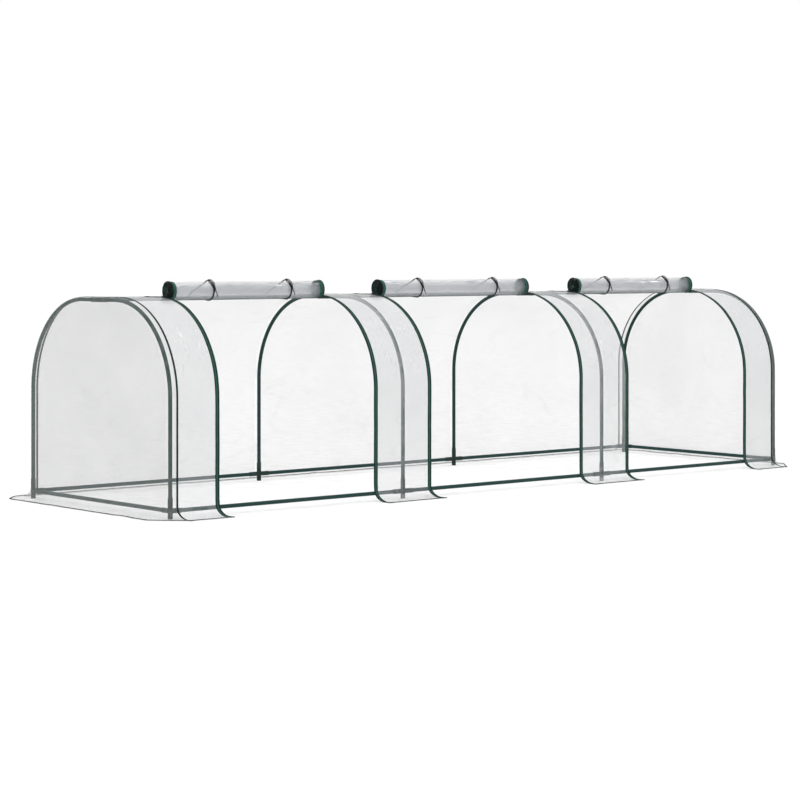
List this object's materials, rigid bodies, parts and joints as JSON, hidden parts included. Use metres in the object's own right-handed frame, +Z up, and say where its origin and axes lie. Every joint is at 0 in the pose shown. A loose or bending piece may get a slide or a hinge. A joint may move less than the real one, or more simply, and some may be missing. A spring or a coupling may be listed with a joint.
{
  "type": "tunnel greenhouse",
  "caption": "Low tunnel greenhouse: plug-together steel hoops under a clear film cover with a ground skirt, zipped front doors rolled up and tied, and sliders with pull tabs.",
  "frame": {"origin": "centre of the footprint on the floor", "axes": "+X along the tunnel, -Y towards the doors, +Z up"},
  "size_m": [3.6576, 1.2006, 0.902],
  "materials": {
    "coated_steel": "dark green powder coat",
    "green_plastic": "moulded, satin",
    "clear_film": "clear flexible PVC, slightly milky",
    "rolled_film": "clear film in many layers, grey-white",
    "tie_cord": "woven black cord",
    "zip_metal": "black enamel"
  },
  "bodies": {
    "frame": {"hoop_1_front_tube": "coated_steel", "hoop_1_back_tube": "coated_steel", "hoop_2_front_tube": "coated_steel", "hoop_2_back_tube": "coated_steel", "hoop_3_front_tube": "coated_steel", "hoop_3_back_tube": "coated_steel", "hoop_4_front_tube": "coated_steel", "hoop_4_back_tube": "coated_steel", "ridge_tube_1": "coated_steel", "front_rail_1": "coated_steel", "back_rail_1": "coated_steel", "ridge_tube_2": "coated_steel", "front_rail_2": "coated_steel", "back_rail_2": "coated_steel", "ridge_tube_3": "coated_steel", "front_rail_3": "coated_steel", "back_rail_3": "coated_steel", "left_end_rail": "coated_steel", "right_end_rail": "coated_steel", "foot_1_front": "green_plastic", "foot_1_back": "green_plastic", "crown_fitting_1": "green_plastic", "foot_2_front": "green_plastic", "foot_2_back": "green_plastic", "crown_fitting_2": "green_plastic", "foot_3_front": "green_plastic", "foot_3_back": "green_plastic", "crown_fitting_3": "green_plastic", "foot_4_front": "green_plastic", "foot_4_back": "green_plastic", "crown_fitting_4": "green_plastic", "back_sheet": "clear_film", "left_end_strip": "clear_film", "left_middle_strip": "clear_film", "right_middle_strip": "clear_film", "right_end_strip": "clear_film", "left_end_panel": "clear_film", "right_end_panel": "clear_film"},
    "door_1": {"door_1_roll": "rolled_film", "door_1_tie_left": "tie_cord", "door_1_tie_right": "tie_cord"},
    "door_1_slider_left": {"door_1_slider_left": "zip_metal"},
    "door_1_pull_left": {"door_1_pull_left": "zip_metal"},
    "door_1_slider_right": {"door_1_slider_right": "zip_metal"},
    "door_1_pull_right": {"door_1_pull_right": "zip_metal"},
    "door_2": {"door_2_roll": "rolled_film", "door_2_tie_left": "tie_cord", "door_2_tie_right": "tie_cord"},
    "door_2_slider_left": {"door_2_slider_left": "zip_metal"},
    "door_2_pull_left": {"door_2_pull_left": "zip_metal"},
    "door_2_slider_right": {"door_2_slider_right": "zip_metal"},
    "door_2_pull_right": {"door_2_pull_right": "zip_metal"},
    "door_3": {"door_3_roll": "rolled_film", "door_3_tie_left": "tie_cord", "door_3_tie_right": "tie_cord"},
    "door_3_slider_left": {"door_3_slider_left": "zip_metal"},
    "door_3_pull_left": {"door_3_pull_left": "zip_metal"},
    "door_3_slider_right": {"door_3_slider_right": "zip_metal"},
    "door_3_pull_right": {"door_3_pull_right": "zip_metal"}
  },
  "joints": [
    {"name": "door_1_flip", "type": "hinge", "parent": "frame", "child": "door_1", "pos_m": [0, -0.001, 0.835], "axis": [-1, 0, 0], "range_deg": [0, 154]},
    {"name": "door_1_zip_left", "type": "hinge", "parent": "frame", "child": "door_1_slider_left", "pos_m": [-1.5125, -0.122, 0.453], "axis": [1, 0, 0], "range_deg": [0, 88]},
    {"name": "door_1_pull_turn_left", "type": "hinge", "parent": "door_1_slider_left", "child": "door_1_pull_left", "pos_m": [-1.5125, -0.1252, 0.8388], "axis": [-1, 0, 0], "range_deg": [0, 150]},
    {"name": "door_1_zip_right", "type": "hinge", "parent": "frame", "child": "door_1_slider_right", "pos_m": [-0.7355, -0.122, 0.453], "axis": [1, 0, 0], "range_deg": [0, 88]},
    {"name": "door_1_pull_turn_right", "type": "hinge", "parent": "door_1_slider_right", "child": "door_1_pull_right", "pos_m": [-0.7355, -0.1252, 0.8388], "axis": [-1, 0, 0], "range_deg": [0, 150]},
    {"name": "door_2_flip", "type": "hinge", "parent": "frame", "child": "door_2", "pos_m": [0, -0.001, 0.835], "axis": [-1, 0, 0], "range_deg": [0, 154]},
    {"name": "door_2_zip_left", "type": "hinge", "parent": "frame", "child": "door_2_slider_left", "pos_m": [-0.4345, -0.122, 0.453], "axis": [1, 0, 0], "range_deg": [0, 88]},
    {"name": "door_2_pull_turn_left", "type": "hinge", "parent": "door_2_slider_left", "child": "door_2_pull_left", "pos_m": [-0.4345, -0.1252, 0.8388], "axis": [-1, 0, 0], "range_deg": [0, 150]},
    {"name": "door_2_zip_right", "type": "hinge", "parent": "frame", "child": "door_2_slider_right", "pos_m": [0.4345, -0.122, 0.453], "axis": [1, 0, 0], "range_deg": [0, 88]},
    {"name": "door_2_pull_turn_right", "type": "hinge", "parent": "door_2_slider_right", "child": "door_2_pull_right", "pos_m": [0.4345, -0.1252, 0.8388], "axis": [-1, 0, 0], "range_deg": [0, 150]},
    {"name": "door_3_flip", "type": "hinge", "parent": "frame", "child": "door_3", "pos_m": [0, -0.001, 0.835], "axis": [-1, 0, 0], "range_deg": [0, 154]},
    {"name": "door_3_zip_left", "type": "hinge", "parent": "frame", "child": "door_3_slider_left", "pos_m": [0.7355, -0.122, 0.453], "axis": [1, 0, 0], "range_deg": [0, 88]},
    {"name": "door_3_pull_turn_left", "type": "hinge", "parent": "door_3_slider_left", "child": "door_3_pull_left", "pos_m": [0.7355, -0.1252, 0.8388], "axis": [-1, 0, 0], "range_deg": [0, 150]},
    {"name": "door_3_zip_right", "type": "hinge", "parent": "frame", "child": "door_3_slider_right", "pos_m": [1.5125, -0.122, 0.453], "axis": [1, 0, 0], "range_deg": [0, 88]},
    {"name": "door_3_pull_turn_right", "type": "hinge", "parent": "door_3_slider_right", "child": "door_3_pull_right", "pos_m": [1.5125, -0.1252, 0.8388], "axis": [-1, 0, 0], "range_deg": [0, 150]}
  ]
}
